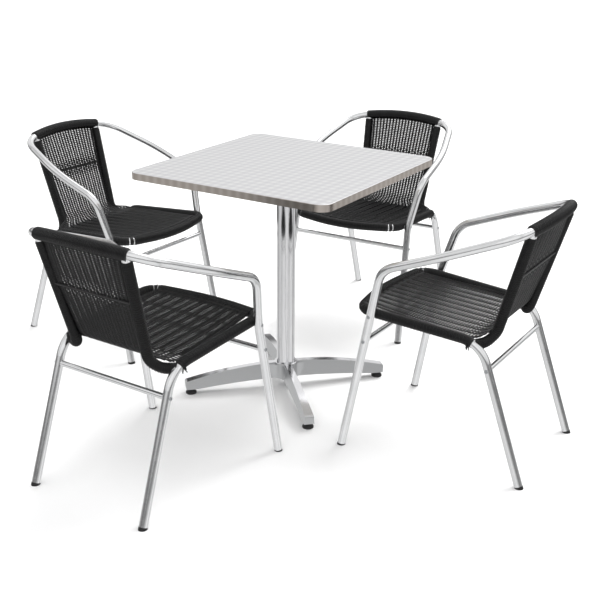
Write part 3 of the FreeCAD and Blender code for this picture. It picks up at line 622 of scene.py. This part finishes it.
def make_post_windings():
    """Pairs of turns with a gap between, one pair to each row of the back."""
    strands = StrandMesh()
    wound = part_of_line(post, TOP_WINDING_RADIUS, distances(post)[-1])
    for line in (wound, mirror(wound)):
        for shift in (0.0, 2 * POST_WINDING_STRAND):
            wind(strands, line, (0, 1, 0), SIDE_WINDING_RADIUS, BACK_ROW_PITCH, POST_WINDING_STRAND, shift)
        line_the_tube(strands, line, (0, 1, 0), SIDE_WINDING_RADIUS - POST_LINER_DEPTH)
    return strands.mesh("post_windings", strand)


def make_seat_winding():
    """Close turns round the side rails and the front rail, every third one standing proud."""
    strands = StrandMesh()
    known = distances(seat_rail)
    length = known[-1]
    leg = float(np.linalg.norm(np.subtract(SEAT_RAIL[1], SEAT_RAIL[0])))
    start = leg + SEAT_WINDING_START
    corner = known[np.argmax(seat_rail[:, 0] > SEAT_RAIL[2][0] - CORNER_START)]
    band = corner + CORNER_GAP
    front = band + CORNER_BAND + CORNER_GAP
    stretches = [(start, corner), (band, band + CORNER_BAND), (front, length - front),
                 (length - band - CORNER_BAND, length - band), (length - corner, length - start)]
    for low, high in stretches:
        line = part_of_line(seat_rail, low, high)
        for number, lift in enumerate(SEAT_TURN_LIFTS):
            wind(strands, line, (0, 0, 1), SIDE_WINDING_RADIUS + lift, SEAT_TURN_PITCH * len(SEAT_TURN_LIFTS),
                 SEAT_WINDING_STRAND, SEAT_TURN_PITCH * number)
        line_the_tube(strands, line, (0, 0, 1), SIDE_WINDING_RADIUS - SEAT_LINER_DEPTH)
    lay_loose_ends(strands, start)
    return strands.mesh("seat_winding", strand)


def lay_loose_ends(strands, start):
    """Cut ends of the winding strand that stick out below each rear corner of the seat."""
    chance = np.random.default_rng(7)
    base, ahead = along(seat_rail, np.array([start, start + 12.0]))
    forward = unit(ahead - base)
    down = unit(np.cross((0.0, 1.0, 0.0), forward))
    for number in range(LOOSE_ENDS):
        angle = math.radians(-70.0 + 140.0 * number / (LOOSE_ENDS - 1))
        radial = down * math.cos(angle) + np.array([0.0, -1.0, 0.0]) * math.sin(angle)
        root = base + forward * chance.uniform(2.0, 14.0) + radial * (SIDE_WINDING_RADIUS - 2.0)
        lean = radial * chance.uniform(0.3, 0.8) - forward * chance.uniform(0.2, 0.8)
        reach = chance.uniform(7.0, 14.0)
        line = np.stack([root, root + unit(lean) * reach * 0.5, root + unit(lean + radial * 0.2) * reach])
        for end in (line, mirror(line)):
            strands.lay(end, np.array([0.3, 0.1, 1.0]), SEAT_LINE_RADIUS)


def placed(x_axis, y_axis, z_axis, origin):
    """A place in space from three axes and an origin."""
    return Matrix.Translation(origin) @ Matrix((x_axis, y_axis, z_axis)).transposed().to_4x4()


def named(entries, name):
    """The entry of a list in the record that has this name."""
    return next(entry for entry in entries if entry["name"] == name)


def chair_place(number):
    """The chair's own frame, from its slide's direction and its seat mount."""
    slide = named(record["behaviour"]["joints"], f"chair_{number}_pull_out")
    seat = named(record["mounts"], f"chair_{number}_seat")
    forward = -Vector(slide["axis"]).normalized()
    left = Vector((-forward.y, forward.x, 0.0))
    origin = Vector((seat["pos_m"][0], seat["pos_m"][1], 0.0)) - forward * SEAT_MOUNT_X * MM
    return placed(forward, left, Vector((0.0, 0.0, 1.0)), origin)


# ---------------------------------------------------------------- CAD pieces
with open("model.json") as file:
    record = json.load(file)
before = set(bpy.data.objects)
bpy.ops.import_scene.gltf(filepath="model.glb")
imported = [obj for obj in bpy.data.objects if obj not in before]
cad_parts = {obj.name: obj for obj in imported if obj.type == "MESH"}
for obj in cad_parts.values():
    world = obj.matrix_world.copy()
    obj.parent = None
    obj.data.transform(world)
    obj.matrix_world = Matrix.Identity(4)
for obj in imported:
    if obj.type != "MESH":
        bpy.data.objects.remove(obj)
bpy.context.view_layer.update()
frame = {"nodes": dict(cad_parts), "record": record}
record = frame["record"]

strand = polyethylene_strand()
column_low, column_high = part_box("column")
table_middle = (column_low + column_high) / 2
finishes = {
    "stainless_sheet": patterned_stainless_sheet(table_middle),
    "board": fibreboard(),
    "cast_aluminium": polished_casting(),
    "polished_column": polished_column(),
    "frame_tube": satin_anodised_tube(),
    "steel_fixings": zinc_plated_steel(),
    "black_plastic": moulded_nylon(),
    "black_rod": powder_coated_rod(),
    "woven_strand": strand,
}
for subpart in record["subparts"]:
    node = frame["nodes"][subpart["node"]]
    for slot in node.material_slots:
        slot.material = finishes[subpart["material_slot"]]

# ---------------------------------------------------------------- woven pieces
top_rail = rounded_line(TOP_RAIL, TOP_RAIL_RADII)
seat_rail = rounded_line(SEAT_RAIL, SEAT_RAIL_RADII)
post = rounded_line(POST, POST_RADII)
top_middle = distances(top_rail)[-1] / 2
wound_top = part_of_line(top_rail, top_middle - TOP_WINDING_HALF_LENGTH,
                         top_middle + TOP_WINDING_HALF_LENGTH)

front_bow = seat_rail[seat_rail[:, 0] > SEAT_RAIL[2][0] - FRONT_BOW_MARGIN]
top_x, top_z = rail_at(wound_top, 0.0)
front_x, front_z = rail_at(front_bow, 0.0)
rail_slope = (SEAT_RAIL[2][2] - SEAT_RAIL[1][2]) / (SEAT_RAIL[2][0] - SEAT_RAIL[1][0])
foot_z = SEAT_RAIL[1][2] + rail_slope * (WEAVE_FOOT_X - SEAT_RAIL[1][0]) + WEAVE_LIFT
middle_line = rounded_line([(top_x, 0.0, top_z), (WEAVE_FOOT_X, 0.0, foot_z),
                            (front_x, 0.0, front_z + WEAVE_LIFT)], [WEAVE_BEND_RADIUS])
middle_known = distances(middle_line)
middle_length = middle_known[-1]

rows = row_places()
on_seat = middle_line[:, 2] < foot_z + WEAVE_BEND_RADIUS
joint = middle_known[on_seat & (middle_line[:, 0] > WEAVE_JOINT_X)][0]
woven_meshes = (
    (make_back_weave(rows, joint), "back_weave"),
    (make_seat_weave(rows, joint), "seat_weave"),
    (make_top_winding(), "frame_wraps"),
    (make_post_windings(), "frame_wraps"),
    (make_seat_winding(), "frame_wraps"),
)
for number in CHAIRS:
    place = chair_place(number)
    for mesh, node in woven_meshes:
        piece = bpy.data.objects.new(f"chair_{number}_{mesh.name}_strands", mesh)
        bpy.context.scene.collection.objects.link(piece)
        piece.matrix_world = place
        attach(piece, f"chair_{number}")
        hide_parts(f"chair_{number}_{node}")

# ---------------------------------------------------------------- floor, light and camera
floor_mesh = bpy.data.meshes.new("studio_floor")
floor_mesh.from_pydata([(-FLOOR_HALF, -FLOOR_HALF, 0), (FLOOR_HALF, -FLOOR_HALF, 0),
                        (FLOOR_HALF, FLOOR_HALF, 0), (-FLOOR_HALF, FLOOR_HALF, 0)], [], [(0, 1, 2, 3)])
floor_mesh.materials.append(studio_floor())
floor = bpy.data.objects.new("studio_floor", floor_mesh)
bpy.context.scene.collection.objects.link(floor)
floor.visible_glossy = False    # the tubes mirror the studio's lower half instead of the lit floor

bpy.context.scene.world = studio_world()
for name, direction, strength, angle in SUNS:
    sun_data = bpy.data.lights.new(name, "SUN")
    sun_data.energy = strength
    sun_data.angle = math.radians(angle)
    sun = bpy.data.objects.new(name, sun_data)
    bpy.context.scene.collection.objects.link(sun)
    sun.rotation_euler = (-direction).to_track_quat("-Z", "Y").to_euler()
    sun.visible_glossy = False      # the tubes mirror the world's soft box in its place

camera_data = bpy.data.cameras.new("camera")
camera_data.sensor_width = CAMERA_SENSOR
camera_data.lens = CAMERA_LENS
camera = bpy.data.objects.new("camera", camera_data)
bpy.context.scene.collection.objects.link(camera)
camera.matrix_world = placed(CAMERA_RIGHT, CAMERA_UP, CAMERA_RIGHT.cross(CAMERA_UP), CAMERA_PLACE)
bpy.context.scene.camera = camera
bpy.context.scene.view_settings.view_transform = "Standard"
